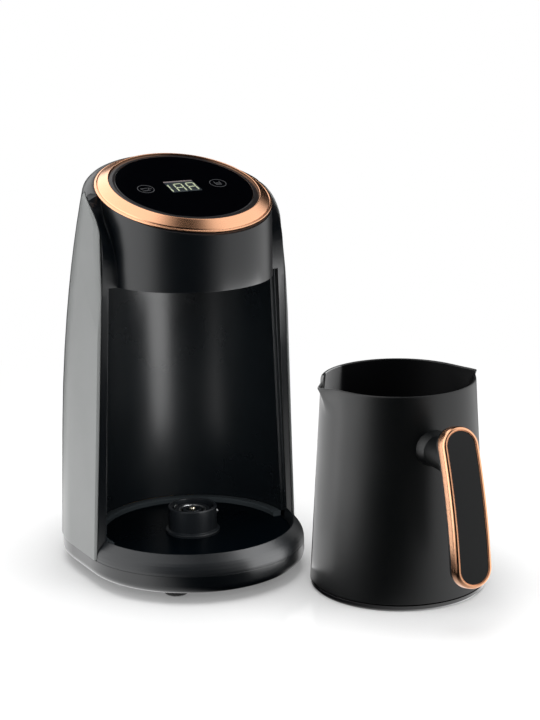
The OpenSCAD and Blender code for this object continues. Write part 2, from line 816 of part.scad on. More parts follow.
module handle_body() {
    color("#1d1f21") at_pot() difference() {
        union() {
            intersection() {
                bow(grip_r - trim_depth - 0.6, grip_r - plate_drop, 20);
                bar(grip_w / 2 - trim_band - gap, grip_len - 2 * trim_band - 2 * gap);
            }
            intersection() {
                bow(grip_r - trim_depth - 2.8, grip_r - trim_depth - 0.1, 20);
                bar(grip_w / 2 - 0.5, grip_len - 1);
            }
            intersection() {
                translate([0, -40, stub_z]) rotate([90, 0, 0]) union() {
                    cylinder(r = stub_r, h = 60);
                    translate([0, 0, 8]) cylinder(r1 = stub_r + 2.6, r2 = stub_r, h = 9);
                }
                bow(grip_r - 100, grip_r - trim_depth - 0.5, 20);
            }
        }
        cylinder(r1 = pot_foot_r + 0.12, r2 = pot_rim_r + 0.12, h = pot_h, $fn = 160);
        translate([0, -40, stub_z]) rotate([90, 0, 0]) {
            cylinder(r = 5.15, h = insert_end - 39.7);
            cylinder(r = 2.3, h = 60);
        }
        translate([0, -screw_seat, stub_z]) rotate([90, 0, 0]) cylinder(r = 4.5, h = 10);
    }
}

module handle_insert() {
    color("#b5b0a6") at_pot() difference() {
        translate([0, -45, stub_z]) rotate([90, 0, 0]) cylinder(r = 5, h = insert_end - 45);
        cylinder(r1 = pot_foot_r + 0.06, r2 = pot_rim_r + 0.06, h = pot_h, $fn = 160);
        translate([0, -grip_root - 2.4, stub_z]) rotate([90, 0, 0]) cylinder(r = 2.1, h = 20);
    }
}

module handle_screw() {
    color("#8d9093") at_pot() translate([0, 0, stub_z]) rotate([90, 0, 0]) difference() {
        union() {
            translate([0, 0, grip_root + 3.4]) cylinder(r = 2, h = screw_seat - grip_root - 3);
            translate([0, 0, screw_seat + 0.05]) cylinder(r = 4.1, h = 2.2);
        }
        translate([-2.6, -0.4, screw_seat + 1.4]) cube([5.2, 0.8, 2]);
        translate([-0.4, -2.6, screw_seat + 1.4]) cube([0.8, 5.2, 2]);
    }
}

base_bottom();
base_feet();
base_screws();
base_ring();
tray();
coupler_boss();
coupler_core();
contact_ring();
centre_pin();
side_contact_right();
side_contact_left();
front_housing();
bay_liner();
side_panel_left();
side_panel_right();
rear_cover();
trim_ring();
inner_bezel();
glass_panel();
display_module();
control_board();
touch_springs();
control_screws();
power_board();
board_brackets();
power_parts();
boil_sensor();
cord_inlet();
pot_body();
pot_base();
heater_plate();
heater_element();
pot_connector();
pot_contacts();
pot_thermostat();
pot_screws();
handle_body();
handle_trim();
handle_inlay();
handle_screw();
handle_insert();
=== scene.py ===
import math

import bmesh
import bpy
import numpy as np
from mathutils import Matrix, Vector


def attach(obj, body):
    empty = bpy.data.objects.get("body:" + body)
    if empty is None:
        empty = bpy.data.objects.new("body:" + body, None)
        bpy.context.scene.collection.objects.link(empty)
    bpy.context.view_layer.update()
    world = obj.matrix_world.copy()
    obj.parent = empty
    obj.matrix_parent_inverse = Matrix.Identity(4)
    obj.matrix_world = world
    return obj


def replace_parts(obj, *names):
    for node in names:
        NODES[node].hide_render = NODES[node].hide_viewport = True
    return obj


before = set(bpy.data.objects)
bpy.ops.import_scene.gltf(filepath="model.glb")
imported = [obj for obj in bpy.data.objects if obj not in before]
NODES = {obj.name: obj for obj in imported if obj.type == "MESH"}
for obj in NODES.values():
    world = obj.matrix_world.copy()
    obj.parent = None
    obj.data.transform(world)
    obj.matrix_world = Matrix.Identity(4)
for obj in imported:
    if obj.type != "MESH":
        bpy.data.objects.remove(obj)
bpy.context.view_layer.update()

MM = 0.001

# ---------- camera: the photograph's place and frame ----------

YAW, PITCH, ROLL = math.radians(28.75), math.radians(14.11), math.radians(-0.75)
CAMERA_PLACE = Vector((-546.77, -1107.18, 451.50)) * MM
FOCAL_PIXELS, PICTURE_HEIGHT, SENSOR = 1939.57, 720, 36


def make_camera():
    data = bpy.data.cameras.new("camera")
    cam = bpy.data.objects.new("camera", data)
    bpy.context.collection.objects.link(cam)
    look = Vector((math.sin(YAW) * math.cos(PITCH), math.cos(YAW) * math.cos(PITCH), -math.sin(PITCH)))
    right = Vector((math.cos(YAW), -math.sin(YAW), 0))
    up = right.cross(look)
    right2 = right * math.cos(ROLL) + up * math.sin(ROLL)
    up2 = right2.cross(look)
    m = Matrix((right2, up2, -look)).transposed().to_4x4()
    m.translation = CAMERA_PLACE
    cam.matrix_world = m
    data.sensor_fit = "AUTO"
    data.sensor_width = SENSOR
    data.lens = FOCAL_PIXELS * SENSOR / PICTURE_HEIGHT
    data.clip_start, data.clip_end = 0.05, 60
    bpy.context.scene.camera = cam


make_camera()

# ---------- materials ----------


class Tree:
    """A node material under construction."""

    def __init__(self, name):
        self.mat = bpy.data.materials.new(name)
        self.mat.use_nodes = True
        self.nodes = self.mat.node_tree.nodes
        self.links = self.mat.node_tree.links
        self.bsdf = self.nodes["Principled BSDF"]
        self.coord = self.add("ShaderNodeTexCoord").outputs["Object"]

    def add(self, kind, **values):
        node = self.nodes.new(kind)
        for key, value in values.items():
            if hasattr(node, key):
                setattr(node, key, value)
            else:
                node.inputs[key.replace("_", " ")].default_value = value
        return node

    def link(self, a, b):
        self.links.new(a, b)

    def noise(self, scale, detail=3.0, rough=0.55, stretch=None):
        node = self.add("ShaderNodeTexNoise")
        node.inputs["Scale"].default_value = scale
        node.inputs["Detail"].default_value = detail
        node.inputs["Roughness"].default_value = rough
        if stretch:
            m = self.add("ShaderNodeMapping")
            m.inputs["Scale"].default_value = stretch
            self.link(self.coord, m.inputs["Vector"])
            self.link(m.outputs["Vector"], node.inputs["Vector"])
        else:
            self.link(self.coord, node.inputs["Vector"])
        return node.outputs["Fac"]

    def remap(self, value, lo, hi, from_lo=0.3, from_hi=0.7):
        node = self.add("ShaderNodeMapRange")
        node.inputs["From Min"].default_value = from_lo
        node.inputs["From Max"].default_value = from_hi
        node.inputs["To Min"].default_value = lo
        node.inputs["To Max"].default_value = hi
        self.link(value, node.inputs["Value"])
        return node.outputs["Result"]

    def mix(self, fac, a, b, blend="MIX"):
        node = self.add("ShaderNodeMix", data_type="RGBA", blend_type=blend)
        for value, socket in ((a, node.inputs[6]), (b, node.inputs[7])):
            if isinstance(value, tuple):
                socket.default_value = (*value, 1)
            else:
                self.link(value, socket)
        if isinstance(fac, float):
            node.inputs[0].default_value = fac
        else:
            self.link(fac, node.inputs[0])
        return node.outputs[2]

    def bump(self, height, strength, distance, normal=None):
        node = self.add("ShaderNodeBump")
        node.inputs["Strength"].default_value = strength
        node.inputs["Distance"].default_value = distance
        self.link(height, node.inputs["Height"])
        if normal is not None:
            self.link(normal, node.inputs["Normal"])
        return node.outputs["Normal"]

    def rounded(self, radius):
        node = self.add("ShaderNodeBevel", samples=4)
        node.inputs["Radius"].default_value = radius
        return node.outputs["Normal"]

    def edge_wear_and_highlight(self, radius, lo=0.02, hi=0.25):
        """1 on convex and concave edges, 0 on open faces."""
        geo = self.add("ShaderNodeNewGeometry")
        dot = self.add("ShaderNodeVectorMath", operation="DOT_PRODUCT")
        self.link(self.rounded(radius), dot.inputs[0])
        self.link(geo.outputs["Normal"], dot.inputs[1])
        return self.remap(dot.outputs["Value"], 1.0, 0.0, 1 - hi, 1 - lo)


def moulded(name, colour, rough, specular=0.5, vary=0.12, rough_vary=0.05, grain=2200.0, grain_depth=0.25,
            edge=0.0004, wear_and_highlight=0.25, wear_and_highlight_colour=None, coat=0.0, coat_rough=0.1, painted_top_light=None):
    """Moulded plastic or paint: fine grain, faint cloudiness, uneven sheen and a little edge wear, whose
    lighter edges are partly a painted edge highlight.

    The last argument is a height in metres and the colour above it, a painted highlight where a top face
    catches the light."""
    t = Tree(name)
    cloud = t.noise(26.0, 4.0, 0.6)
    dark = tuple(c * (1 - vary) for c in colour)
    light = tuple(min(1.0, c * (1 + vary)) for c in colour)
    base = t.mix(t.remap(cloud, 0.0, 1.0), dark, light)
    # lighter edges in patches: partly edge wear, partly a painted edge highlight
    if wear_and_highlight:
        worn_and_lit = wear_and_highlight_colour or tuple(min(1.0, c * 1.5 + 0.02) for c in colour)
        spots = t.remap(t.noise(420.0, 5.0, 0.7), 0.0, wear_and_highlight, 0.42, 0.68)
        mask = t.add("ShaderNodeMath", operation="MULTIPLY")
        t.link(t.edge_wear_and_highlight(edge * 1.6), mask.inputs[0])
        t.link(spots, mask.inputs[1])
        base = t.mix(mask.outputs[0], base, worn_and_lit)
    # painted highlight: a lighter colour painted above the given height
    if painted_top_light:
        level, top_light_tone = painted_top_light
        place = t.add("ShaderNodeSeparateXYZ")
        t.link(t.coord, place.inputs[0])
        base = t.mix(t.remap(place.outputs["Z"], 0.0, 1.0, level - 0.0003, level + 0.0003), base, top_light_tone)
    t.link(base, t.bsdf.inputs["Base Color"])
    smear = t.noise(9.0, 5.0, 0.65)
    t.link(t.remap(smear, rough - rough_vary, rough + rough_vary), t.bsdf.inputs["Roughness"])
    t.bsdf.inputs["Specular IOR Level"].default_value = specular
    t.bsdf.inputs["Coat Weight"].default_value = coat
    t.bsdf.inputs["Coat Roughness"].default_value = coat_rough
    normal = t.rounded(edge) if edge else None
    fine = t.bump(t.noise(grain, 2.0, 0.5), grain_depth, 0.00004, normal)
    t.link(fine, t.bsdf.inputs["Normal"])
    return t.mat


def metal(name, colour, rough, brushed=None, vary=0.06, edge=0.0003, grain_depth=0.15, rough_vary=0.05):
    t = Tree(name)
    t.bsdf.inputs["Metallic"].default_value = 1.0
    dark = tuple(c * (1 - vary) for c in colour)
    light = tuple(min(1.0, c * (1 + vary)) for c in colour)
    t.link(t.mix(t.remap(t.noise(60.0, 5.0, 0.6), 0.0, 1.0), dark, light), t.bsdf.inputs["Base Color"])
    streak = t.noise(900.0, 3.0, 0.6, brushed)
    t.link(t.remap(streak, rough - rough_vary, rough + rough_vary), t.bsdf.inputs["Roughness"])
    normal = t.rounded(edge) if edge else None
    t.link(t.bump(streak, grain_depth, 0.00002, normal), t.bsdf.inputs["Normal"])
    return t.mat


def glow(name, colour, strength, rough=0.3):
    t = Tree(name)
    lit = t.mix(t.remap(t.noise(700.0, 2.0), 0.0, 1.0), tuple(c * 0.85 for c in colour), colour)
    t.link(lit, t.bsdf.inputs["Emission Color"])
    t.link(lit, t.bsdf.inputs["Base Color"])
    t.bsdf.inputs["Emission Strength"].default_value = strength
    t.bsdf.inputs["Roughness"].default_value = rough
    return t.mat


# the lighter edges these finishes get are partly edge wear and partly a painted edge highlight
SHELL = moulded("shell_black", (0.0010, 0.0020, 0.0032), 0.31, 0.5, grain=2600.0, grain_depth=0.3)
COVER = moulded("cover_black", (0.0032, 0.0042, 0.0056), 0.42, 0.45, grain=2400.0, grain_depth=0.35)
LAND = moulded("land_black", (0.0045, 0.0058, 0.0074), 0.40, 0.5, grain=2600.0, grain_depth=0.3)
LINER = moulded("liner_black", (0.0060, 0.0082, 0.0102), 0.29, 0.5, grain=1800.0, grain_depth=0.35, wear_and_highlight=0.1)
# the tray's ledge above 25 mm is painted a lighter grey, a painted highlight where light falls from above
TRAY = moulded("tray_gloss", (0.0008, 0.0020, 0.0034), 0.30, 0.02, grain=900.0, grain_depth=0.1, wear_and_highlight=0.1,
               painted_top_light=(0.025, (0.042, 0.050, 0.055)))
# the panel's much lighter edges are partly wear and partly a painted edge highlight
PANEL = moulded("panel_grey", (0.152, 0.159, 0.157), 0.38, 0.42, vary=0.03, grain=3000.0, grain_depth=0.15,
                edge=0.0012, wear_and_highlight=0.15, wear_and_highlight_colour=(0.36, 0.365, 0.36))
POT = moulded("pot_matt", (0.0008, 0.0013, 0.0016), 0.38, 0.5, grain=1500.0, grain_depth=0.45, wear_and_highlight=0.2)
GLOSS = moulded("gloss_black", (0.0035, 0.0036, 0.0042), 0.10, 0.5, vary=0.05, rough_vary=0.03, grain=300.0,
                grain_depth=0.04, edge=0.0005, wear_and_highlight=0.0, coat=0.6, coat_rough=0.03)
GLASS = moulded("touch_glass", (0.0006, 0.0007, 0.0012), 0.06, 0.4, vary=0.05, rough_vary=0.02, grain=200.0,
                grain_depth=0.02, edge=0.0003, wear_and_highlight=0.0)
BOSS = moulded("boss_black", (0.0100, 0.0122, 0.0148), 0.36, 0.3, grain=2200.0, grain_depth=0.3)
BEZEL = moulded("bezel_charcoal", (0.0080, 0.0068, 0.0072), 0.34, 0.5, grain=2600.0, grain_depth=0.2)
INSIDE = moulded("pot_inside", (0.0006, 0.0007, 0.0010), 0.55, 0.12, grain=1500.0, grain_depth=0.3, wear_and_highlight=0.0)
RUBBER = moulded("rubber_black", (0.012, 0.012, 0.012), 0.75, 0.3, grain=900.0, grain_depth=0.7, wear_and_highlight=0.4)
COPPER = metal("copper_trim", (0.88, 0.46, 0.27), 0.23, (1, 1, 14), vary=0.02, grain_depth=0.04,
               rough_vary=0.02)
INLAY = moulded("inlay_black", (0.0024, 0.0028, 0.0030), 0.16, 0.27, vary=0.05, rough_vary=0.03, grain=300.0,
                grain_depth=0.04, edge=0.0003, wear_and_highlight=0.0)
STEEL = metal("steel", (0.55, 0.56, 0.57), 0.32)
ALU = metal("aluminium", (0.72, 0.73, 0.74), 0.36)
BRASS = metal("contact_metal", (0.72, 0.66, 0.52), 0.28)
BOARD = moulded("board_green", (0.02, 0.12, 0.06), 0.45, 0.5, grain=600.0)
TAN = moulded("board_tan", (0.30, 0.18, 0.07), 0.55, 0.4, grain=600.0)
PARTS = moulded("parts_grey", (0.06, 0.065, 0.07), 0.5, 0.4)
CERAMIC = moulded("ceramic", (0.66, 0.66, 0.62), 0.45, 0.5, vary=0.04)
SCREEN = moulded("screen_grey", (0.016, 0.020, 0.024), 0.30, 0.5, vary=0.08, grain=800.0, edge=0.0, wear_and_highlight=0.0)
SCREEN_EDGE = moulded("screen_edge", (0.16, 0.13, 0.13), 0.35, 0.5, edge=0.0, wear_and_highlight=0.0)
DIGITS = glow("digit_light", (0.32, 0.35, 0.23), 0.55)
UNLIT = moulded("digit_dark", (0.050, 0.058, 0.058), 0.35, 0.4, edge=0.0, wear_and_highlight=0.0)
# the printed icons also glow faintly: their print colour carries a painted glow
ICON_PRINT_GLOW = glow("icon_print_painted_glow", (0.060, 0.062, 0.066), 0.25)

FINISH = {
    "base_bottom": SHELL, "base_feet": RUBBER, "base_screws": STEEL, "base_ring": LAND, "tray": TRAY,
    "coupler_boss": BOSS, "coupler_core": BOSS, "contact_ring": STEEL, "centre_pin": BRASS,
    "side_contact_right": STEEL, "side_contact_left": STEEL, "front_housing": SHELL, "bay_liner": LINER,
    "side_panel_left": PANEL, "side_panel_right": PANEL, "rear_cover": COVER, "trim_ring": COPPER,
    "inner_bezel": BEZEL, "glass_panel": GLASS, "display_module": SCREEN, "control_board": BOARD,
    "touch_springs": STEEL, "control_screws": STEEL, "power_board": TAN, "board_brackets": SHELL,
    "power_parts": PARTS, "boil_sensor": GLOSS, "cord_inlet": RUBBER, "pot_body": POT, "pot_base": GLOSS,
    "heater_plate": ALU, "heater_element": STEEL, "pot_connector": BOSS, "pot_contacts": BRASS,
    "pot_thermostat": CERAMIC, "pot_screws": STEEL, "handle_body": POT, "handle_trim": COPPER,
    "handle_inlay": INLAY, "handle_screw": STEEL, "handle_insert": STEEL,
}
for name, obj in NODES.items():
    if not obj.material_slots:
        obj.data.materials.append(FINISH[name])
    for slot in obj.material_slots:
        slot.material = FINISH[name]

# ---------- pieces ----------


def piece(name, mesh, material, body):
    obj = bpy.data.objects.new(name, mesh)
    bpy.context.collection.objects.link(obj)
    obj.data.materials.append(material)
    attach(obj, body)
    return obj


def smooth_copy(node, sharp):
    """The node's own surface, welded, with smooth shading across its facets."""
    src = NODES[node].data
    bm = bmesh.new()
    for v in src.vertices:
        bm.verts.new(v.co)
    bm.verts.ensure_lookup_table()
    for p in src.polygons:
        try:
            bm.faces.new([bm.verts[i] for i in p.vertices])
        except ValueError:
            pass
    bmesh.ops.remove_doubles(bm, verts=bm.verts, dist=2e-6)
    bmesh.ops.dissolve_limit(bm, angle_limit=math.radians(0.4), verts=bm.verts, edges=bm.edges)
    bmesh.ops.triangulate(bm, faces=bm.faces)
    for f in bm.faces:
        f.smooth = True
    for e in bm.edges:
        e.smooth = len(e.link_faces) == 2 and e.calc_face_angle(0) < math.radians(sharp)
    mesh = bpy.data.meshes.new(node + "_shell")
    bm.to_mesh(mesh)
    bm.free()
    return mesh


SHELLS = {"front_housing": ("shell_black", 26), "rear_cover": ("shell_black", 26),
          "side_panel_left": ("panel_grey", 30), "side_panel_right": ("panel_grey", 30)}
for node, (slot, sharp) in SHELLS.items():
    obj = piece(node + "_shell", smooth_copy(node, sharp), FINISH[node], "machine")
    mod = obj.modifiers.new("even", "WEIGHTED_NORMAL")
    mod.keep_sharp = True
    mod.weight = 60
    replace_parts(obj, node)

# the pot's own frame, and its sizes in millimetres as the solids have them
POT_PLACE = Matrix.Translation((101.9 * MM, -95 * MM, 0)) @ Matrix.Rotation(math.radians(-7), 4, "Z")
POT_FOOT_R, POT_TAPER, POT_T, POT_H, SKIRT_Z = 57.5, 0.05733, 1.7, 137.8, 4.4
POT_UNDER_Z, POT_FLOOR_Z, POT_FILLET = 22, 24, 3
LIP_Z, LIP_REACH, LIP_SPREAD, POT_COLUMNS = 118, 7.0, 8.5, 288
GRIP_R, GRIP_AXIS_Y, GRIP_AXIS_Z, GRIP_LEAN = 303, 193.1, 3.36, 14.69
GRIP_HALF, GRIP_STRAIGHT = 12.05, 37.25


def lofted(name, rows, closed_rows=False):
    """A skin over rows of points, each row a closed loop."""
    k = len(rows[0])
    verts = [v for row in rows for v in row]
    faces = []
    for r in range(len(rows) if closed_rows else len(rows) - 1):
        a, b = r * k, (r + 1) % len(rows) * k
        faces += [(a + c, a + (c + 1) % k, b + (c + 1) % k, b + c) for c in range(k)]
    if not closed_rows:
        faces += [tuple(range(k))[::-1], tuple(range(len(verts) - k, len(verts)))]
    mesh = bpy.data.meshes.new(name)
    mesh.from_pydata(verts, [], faces)
    bm = bmesh.new()
    bm.from_mesh(mesh)
    bmesh.ops.recalc_face_normals(bm, faces=bm.faces)
    for f in bm.faces:
        f.smooth = True
    for e in bm.edges:
        e.smooth = len(e.link_faces) == 2 and e.calc_face_angle(0) < math.radians(40)
    bm.to_mesh(mesh)
    bm.free()
    return mesh


def pot_wall(z):
    return POT_FOOT_R - POT_TAPER * z


def arc(start, stop, step):
    """Cosine and sine at whole steps of degrees."""
    return [(math.cos(math.radians(a)), math.sin(math.radians(a))) for a in range(start, stop, step)]


def pot_skin():
    """The pot's wall, inside and out, with its two drawn lips."""
    low, rim, wall = SKIRT_Z, POT_H, POT_T
    under = pot_wall(POT_UNDER_Z) - wall - 0.3
    profile = [(0.5, POT_UNDER_Z), (under, POT_UNDER_Z), (pot_wall(low) - wall, low + 0.2),
               (pot_wall(low) - wall + 0.2, low), (pot_wall(low) - 0.3, low), (pot_wall(low), low + 0.3)]
    drawn = [LIP_Z + 19.0 * k / 14 for k in range(15)]
    profile += [(pot_wall(z), z) for z in [8, 20, 40, 60, 80, 95, 105, 112, 116] + drawn]
    mid = pot_wall(rim) - wall / 2
    profile += [(mid + wall / 2 * c, rim - 0.8 + 0.8 * s) for c, s in arc(20, 180, 20)]
    inner = len(profile)
    profile += [(pot_wall(z) - wall, z) for z in drawn[::-1] + [116, 112, 40, 30]]
    corner = pot_wall(26) - wall
    profile += [(corner - POT_FILLET * (1 - c), POT_FLOOR_Z + POT_FILLET * (1 - s))
                for c, s in arc(0, 91, 15)]
    profile += [(30, POT_FLOOR_Z), (0.5, POT_FLOOR_Z)]
    rows = []
    for r, z in profile:
        row = []
        for k in range(POT_COLUMNS):
            turn = 360 * k / POT_COLUMNS
            off = min(turn, 360 - turn, abs(turn - 180))
            draw = math.exp(-(off / LIP_SPREAD) ** 1.35) * max(0.0, (z - LIP_Z) / (rim - LIP_Z)) ** 1.6
            a, reach = math.radians(turn), r + LIP_REACH * draw
            row.append(POT_PLACE @ (Vector((reach * math.cos(a), reach * math.sin(a), z - draw)) * MM))
        rows.append(row)
    mesh = lofted("pot_skin", rows)
    for face in mesh.polygons:
        face.material_index = int(min(face.vertices) // POT_COLUMNS >= inner)
    return mesh


def trim_skin():
    """The handle's metal frame: one rounded section swept round its outline."""
    bow = (Matrix.Translation((0, GRIP_AXIS_Y, GRIP_AXIS_Z))
           @ Matrix.Rotation(math.radians(-GRIP_LEAN), 4, "X") @ Matrix.Rotation(math.radians(90), 4, "X"))
    # inset from the outline and drop from the outer face
    section = [(0.3, -8.0), (0.0, -7.7), (0.0, -2.4), (0.12, -1.6), (0.4, -0.9), (0.85, -0.35),
               (1.4, -0.08), (1.9, 0.0), (2.12, -0.08), (2.18, -0.45), (2.34, -0.45), (2.4, -0.3),
               (2.6, -0.32), (2.7, -0.5), (2.7, -8.0)]
    rows = []
    for inset, drop in section:
        r = GRIP_HALF - inset
        half = [(r * c, GRIP_STRAIGHT + r * s) for c, s in arc(0, 181, 6)]
        half += [(-r, GRIP_STRAIGHT - 2 * GRIP_STRAIGHT * k / 20) for k in range(1, 20)]
        rows.append([POT_PLACE @ (bow @ Vector((u, w, math.sqrt((GRIP_R + drop) ** 2 - w * w))) * MM)
                     for u, w in half + [(-u, -w) for u, w in half]])
    return lofted("trim_skin", rows, closed_rows=True)


pot = piece("pot_skin", pot_skin(), POT, "pot")
pot.data.materials.append(INSIDE)
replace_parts(pot, "pot_body")
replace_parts(piece("trim_skin", trim_skin(), COPPER, "pot"), "handle_trim")

# the tilted top: u to the right, v up the slope, n out of the glass
TOP = Matrix.Translation((0, 2.07 * MM, 253.35 * MM)) @ Matrix.Rotation(math.radians(17.38), 4, "X")
GLASS_N = 3.9


def plate(name, outlines, n0, n1, material):
    """Flat printed or inlaid shapes on the glass, each outline in u and v."""
    bm = bmesh.new()
    for outline in outlines:
        low = [bm.verts.new(TOP @ Vector((u * MM, v * MM, n0 * MM))) for u, v in outline]
        high = [bm.verts.new(TOP @ Vector((u * MM, v * MM, n1 * MM))) for u, v in outline]
        k = len(outline)
        bm.faces.new(high)
        bm.faces.new(low[::-1])
        for i in range(k):
            bm.faces.new([low[i], low[(i + 1) % k], high[(i + 1) % k], high[i]])
    bmesh.ops.recalc_face_normals(bm, faces=bm.faces)
    mesh = bpy.data.meshes.new(name)
    bm.to_mesh(mesh)
    bm.free()
    return piece(name, mesh, material, "machine")


def ring_outline(cu, cv, r0, r1, a0=0.0, a1=360.0, steps=64):
    """Quads round an arc."""
    quads = []
    for i in range(steps):
        b0, b1 = (math.radians(a0 + (a1 - a0) * k / steps) for k in (i, i + 1))
        quads.append([(cu + r0 * math.cos(b0), cv + r0 * math.sin(b0)),
                      (cu + r1 * math.cos(b0), cv + r1 * math.sin(b0)),
                      (cu + r1 * math.cos(b1), cv + r1 * math.sin(b1)),
                      (cu + r0 * math.cos(b1), cv + r0 * math.sin(b1))])
    return quads


def bar_outline(u0, v0, u1, v1, width):
    """A stroke with pointed ends, as a display segment has."""
    d = Vector((u1 - u0, v1 - v0)).normalized()
    n = Vector((-d.y, d.x)) * width / 2
    c = d * width / 2
    return [(u0, v0), (u0 + c.x + n.x, v0 + c.y + n.y), (u1 - c.x + n.x, v1 - c.y + n.y), (u1, v1),
            (u1 - c.x - n.x, v1 - c.y - n.y), (u0 + c.x - n.x, v0 + c.y - n.y)]


def digit(cu, cv, w, h, lean, width, segments="abcdefg"):
    def at(x, y):
        return cu + x * w / 2 + lean * y * h / 2, cv + y * h / 2
    ends = {"a": ((-1, 1), (1, 1)), "b": ((1, 1), (1, 0)), "c": ((1, 0), (1, -1)), "d": ((-1, -1), (1, -1)),
            "e": ((-1, 0), (-1, -1)), "f": ((-1, 1), (-1, 0)), "g": ((-1, 0), (1, 0))}
    out = []
    for s in segments:
        (x0, y0), (x1, y1) = ends[s]
        p, q = Vector(at(x0, y0)), Vector(at(x1, y1))
        d = (q - p).normalized() * width * 0.14
        out.append(bar_outline(*(p + d), *(q - d), width))
    return out


def shown(u, lit):
    """One digit of the display with its centre at u."""
    return digit(u, -1.5, 5.3, 10.4, 0.02, 0.95, lit)


plate("screen_window", [[(-11.5, -7.6), (9.3, -8.1), (8.5, 7.4), (-11.3, 8.2)]],
      GLASS_N + 0.01, GLASS_N + 0.05, SCREEN)
plate("screen_top_band", [[(-11.3, 6.9), (8.6, 6.1), (8.5, 7.4), (-11.3, 8.2)]],
      GLASS_N + 0.05, GLASS_N + 0.07, SCREEN_EDGE)
plate("screen_digits", shown(-13.15, "bc") + shown(-3.6, "abcefg") + shown(5.0, "abcefg"),
      GLASS_N + 0.05, GLASS_N + 0.08, DIGITS)
plate("screen_unlit", shown(-3.6, "d") + shown(5.0, "d"),
      GLASS_N + 0.05, GLASS_N + 0.07, UNLIT)

cup = (ring_outline(-26.8, 0.9, 5.2, 5.6)
       + ring_outline(-27.2, 1.7, 2.6, 2.95, 180, 360, 24)
       + [[(-30.15, 1.7), (-24.25, 1.7), (-24.25, 2.05), (-30.15, 2.05)]]
       + ring_outline(-24.0, 0.9, 0.75, 1.05, -90, 90, 12)
       + [[(-29.8, -2.0), (-24.6, -2.0), (-24.6, -1.7), (-29.8, -1.7)]])
glass_icon = (ring_outline(24.1, -0.5, 5.2, 5.6)
              + [[(21.9, 2.2), (22.3, 2.2), (22.7, -3.0), (22.3, -3.0)],
                 [(26.3, 2.2), (25.9, 2.2), (25.5, -3.0), (25.9, -3.0)],
                 [(22.3, -3.0), (25.9, -3.0), (25.9, -2.65), (22.3, -2.65)]]
              + [[(x, 0.6), (x + 0.35, 0.6), (x + 0.35, -2.3), (x, -2.3)] for x in (23.1, 23.95, 24.8)])
plate("touch_icons", cup + glass_icon, GLASS_N + 0.01, GLASS_N + 0.03, ICON_PRINT_GLOW)

# ---------- studio ----------


def area(name, size, at, aim, power):
    data = bpy.data.lights.new(name, "AREA")
    data.shape = "RECTANGLE"
    data.size, data.size_y = size
    data.energy = power
    obj = bpy.data.objects.new(name, data)
    bpy.context.collection.objects.link(obj)
    obj.location = at
    obj.rotation_mode = "QUATERNION"
    obj.rotation_quaternion = (Vector(aim) - Vector(at)).to_track_quat("-Z", "Y")
    obj.visible_glossy = False
    obj.visible_camera = False
    return obj


MIDDLE = Vector((0.05, -0.03, 0.0))


def round_at(azimuth, radius, height):
    """A place round the object; azimuth 0 is the camera's side, positive to its right."""
    a = math.radians(azimuth) - YAW
    return MIDDLE + Vector((math.sin(a) * radius, -math.cos(a) * radius, height))


area("soft_left", (1.2, 1.4), round_at(-85, 1.5, 0.75), MIDDLE + Vector((0, 0, 0.12)), 4.6)
area("soft_right", (1.0, 1.4), round_at(80, 1.6, 0.8), MIDDLE + Vector((0, 0, 0.12)), 5)
area("soft_front", (1.0, 0.8), round_at(4, 1.5, 0.7), MIDDLE + Vector((0, 0, 0.10)), 11)
area("soft_top", (1.8, 1.8), MIDDLE + Vector((0, 0.1, 1.9)), MIDDLE, 33)


ROOM = MIDDLE + Vector((0, 0, 0.13))
SIDE = Vector((math.cos(YAW), -math.sin(YAW), 0))
FRONT = Vector((-math.sin(YAW), -math.cos(YAW), 0))


def smooth_step(x, lo, hi):
    x = min(1.0, max(0.0, (x - lo) / (hi - lo)))
    return x * x * (3 - 2 * x)


def room_radiance(place):
    """What glossy surfaces see: a large soft box on each side, leaning in overhead, and darkness between."""
    v = (Vector(place) - ROOM).normalized()
    turn = math.degrees(math.atan2(v.dot(SIDE), v.dot(FRONT)))
    rise = math.degrees(math.asin(max(-1.0, min(1.0, v.z))))
    lean, back = smooth_step(rise, 20, 72), smooth_step(rise, 12, 34)
    left = ((2.1 - 0.65 * lean) * smooth_step(-turn, 28 - 46 * lean, 56 - 6 * lean)
            * (1 - smooth_step(-turn, 122 + 36 * back, 142 + 34 * back)))
    right = ((1.3 - 0.1 * lean) * smooth_step(turn, 20 + 28 * lean, 60 + 20 * lean)
             * (1 - smooth_step(turn, 132, 150)))
    return max(left, right)


def make_room():
    """A round room that only reflections see, so its floor lies just under the white one."""
    cols, radius, height = 180, 0.85, 1.3
    outline = [(radius * k / 24, -0.001) for k in range(1, 25)]
    outline += [(radius, height * k / 40) for k in range(1, 41)]
    outline += [(radius * k / 24, height) for k in range(23, 0, -1)]
    verts, faces = [], []
    for r, z in outline:
        for c in range(cols):
            a = 2 * math.pi * c / cols
            verts.append((MIDDLE.x + r * math.cos(a), MIDDLE.y + r * math.sin(a), z))
    for r in range(len(outline) - 1):
        for c in range(cols):
            d = (c + 1) % cols
            faces.append((r * cols + c, r * cols + d, (r + 1) * cols + d, (r + 1) * cols + c))
    faces.append(tuple(range(cols))[::-1])
    faces.append(tuple(range(len(verts) - cols, len(verts))))
    mesh = bpy.data.meshes.new("studio_room")
    mesh.from_pydata(verts, [], faces)
    attr = mesh.attributes.new("light", "FLOAT", "POINT")
    attr.data.foreach_set("value", [room_radiance(v) for v in verts])
    obj = bpy.data.objects.new("studio_room", mesh)
    bpy.context.collection.objects.link(obj)
    reflected_only(obj, "room_light")


